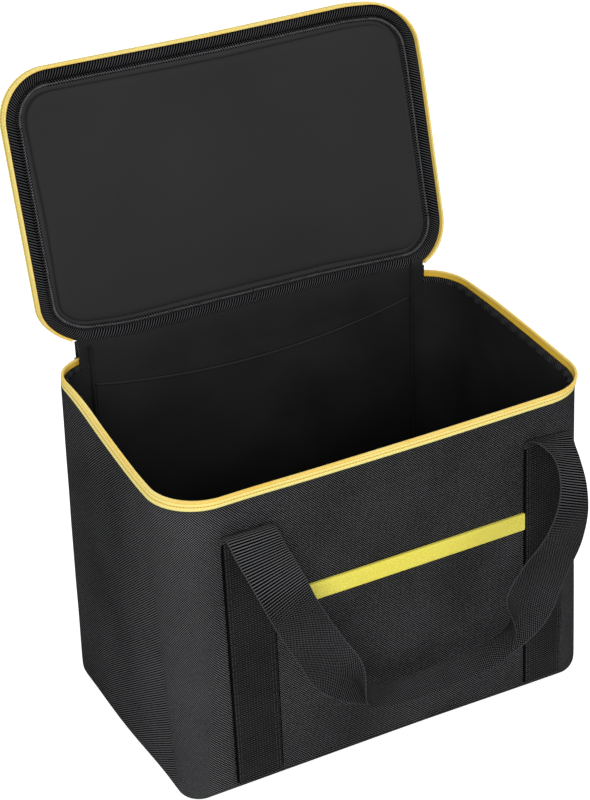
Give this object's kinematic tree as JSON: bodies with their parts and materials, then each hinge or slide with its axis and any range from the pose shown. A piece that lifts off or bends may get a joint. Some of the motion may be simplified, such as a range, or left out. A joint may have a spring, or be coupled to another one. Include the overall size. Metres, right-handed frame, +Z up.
{
  "type": "circular saw case",
  "caption": "Soft rectangular tool case with a hinged padded lid, a zip round its mouth, two webbing handles and pockets.",
  "frame": {"origin": "middle of the flat base, on the floor", "axes": "+X to the right along the front, -Y the front, +Z up; the lid is hinged at +Y"},
  "size_m": [0.353, 0.3364, 0.4631],
  "materials": {
    "oxford": "woven charcoal cloth",
    "webbing": "ribbed black webbing",
    "board": "plain sheet",
    "foam": "closed-cell foam",
    "lining": "smooth black cloth",
    "binding": "ribbed black tape",
    "zip_tape": "woven yellow tape",
    "zip_teeth": "moulded coil",
    "trim": "woven lemon-yellow tape",
    "slider_metal": "dark grey enamel"
  },
  "bodies": {
    "case": {"outer_wall": "oxford", "base_panel": "oxford", "front_pocket": "oxford", "front_strap_left": "webbing", "front_strap_right": "webbing", "back_strap_left": "webbing", "back_strap_right": "webbing", "front_board": "board", "back_board": "board", "left_board": "board", "right_board": "board", "base_board": "board", "corner_foams": "foam", "lining": "lining", "inner_pocket": "lining", "inner_pocket_hem": "lining", "rim_binding": "binding", "corner_piping_left": "binding", "corner_piping_right": "binding", "hinge_strip_lower": "binding", "zip_end_tabs": "binding", "body_zip_tape": "zip_tape", "body_zip_coil": "zip_teeth", "pocket_trim": "trim"},
    "lid": {"lid_panel": "oxford", "lid_board": "board", "lid_pad": "lining", "lid_binding": "binding", "lid_piping": "binding", "lid_zip_tape": "zip_tape", "lid_zip_coil": "zip_teeth", "hinge_strip_upper": "binding"},
    "slider_left": {"slider_left": "slider_metal"},
    "slider_right": {"slider_right": "slider_metal"},
    "pull_left": {"pull_left": "slider_metal"},
    "pull_right": {"pull_right": "slider_metal"},
    "front_handle": {"front_handle": "webbing"},
    "back_handle": {"back_handle": "webbing"}
  },
  "joints": [
    {"name": "lid_hinge", "type": "hinge", "parent": "case", "child": "lid", "pos_m": [0, 0.1035, 0.2593], "axis": [-1, 0, 0], "range_deg": [-105.36, 0]},
    {"name": "slider_left_travel", "type": "hinge", "parent": "case", "child": "slider_left", "pos_m": [-0.132, 0.068, 0.25], "axis": [0, 0, 1], "range_deg": [0, 60]},
    {"name": "slider_right_travel", "type": "hinge", "parent": "case", "child": "slider_right", "pos_m": [0.132, 0.068, 0.25], "axis": [0, 0, -1], "range_deg": [0, 60]},
    {"name": "pull_left_swing", "type": "hinge", "parent": "slider_left", "child": "pull_left", "pos_m": [-0.14211, 0.10856, 0.25], "axis": [0.9703, 0.2419, 0], "range_deg": [0, 150]},
    {"name": "pull_right_swing", "type": "hinge", "parent": "slider_right", "child": "pull_right", "pos_m": [0.14211, 0.10856, 0.25], "axis": [0.9703, -0.2419, 0], "range_deg": [0, 150]},
    {"name": "front_handle_swing", "type": "hinge", "parent": "case", "child": "front_handle", "pos_m": [0.006, -0.1329, 0.2145], "axis": [-1, 0, 0], "range_deg": [0, 155]},
    {"name": "back_handle_swing", "type": "hinge", "parent": "case", "child": "back_handle", "pos_m": [0, 0.1329, 0.2145], "axis": [1, 0, 0], "range_deg": [0, 155]}
  ]
}
